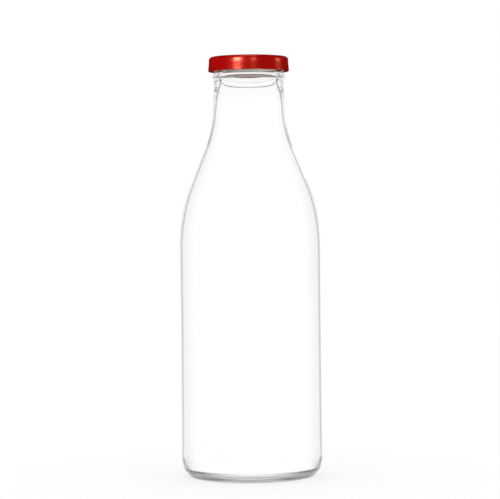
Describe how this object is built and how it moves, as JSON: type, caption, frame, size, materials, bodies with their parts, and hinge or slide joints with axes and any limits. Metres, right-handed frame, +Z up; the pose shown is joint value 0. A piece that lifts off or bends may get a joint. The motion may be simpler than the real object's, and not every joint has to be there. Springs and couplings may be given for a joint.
{
  "type": "milk bottle",
  "caption": "Clear glass milk bottle with a straight body, sloping shoulder and wide neck, closed by a red pressed-metal twist-off lug cap with a soft sealing ring inside.",
  "frame": {"origin": "centre of the flat ring that the bottle stands on", "axes": "+Z up along the bottle's axis, from the standing face towards the cap; +X and +Y are level, with a thread segment's middle on +X"},
  "size_m": [0.0873, 0.0872, 0.2588],
  "materials": {
    "clear_glass": "clear polished flint glass",
    "red_tinplate": "glossy red lacquer outside, pale lacquer inside",
    "sealing_compound": "satin plastisol"
  },
  "bodies": {
    "bottle": {"glass_bottle": "clear_glass"},
    "liner": {"seal_liner": "sealing_compound"},
    "cap": {"cap_shell": "red_tinplate"}
  },
  "joints": [
    {"name": "cap_lift", "type": "slide", "parent": "bottle", "child": "liner", "axis": [0, 0, 1], "range_m": [0, 0.06]},
    {"name": "cap_turn", "type": "hinge", "parent": "liner", "child": "cap", "pos_m": [0, 0, 0.2545], "axis": [0, 0, 1], "range_deg": [0, 65]}
  ]
}
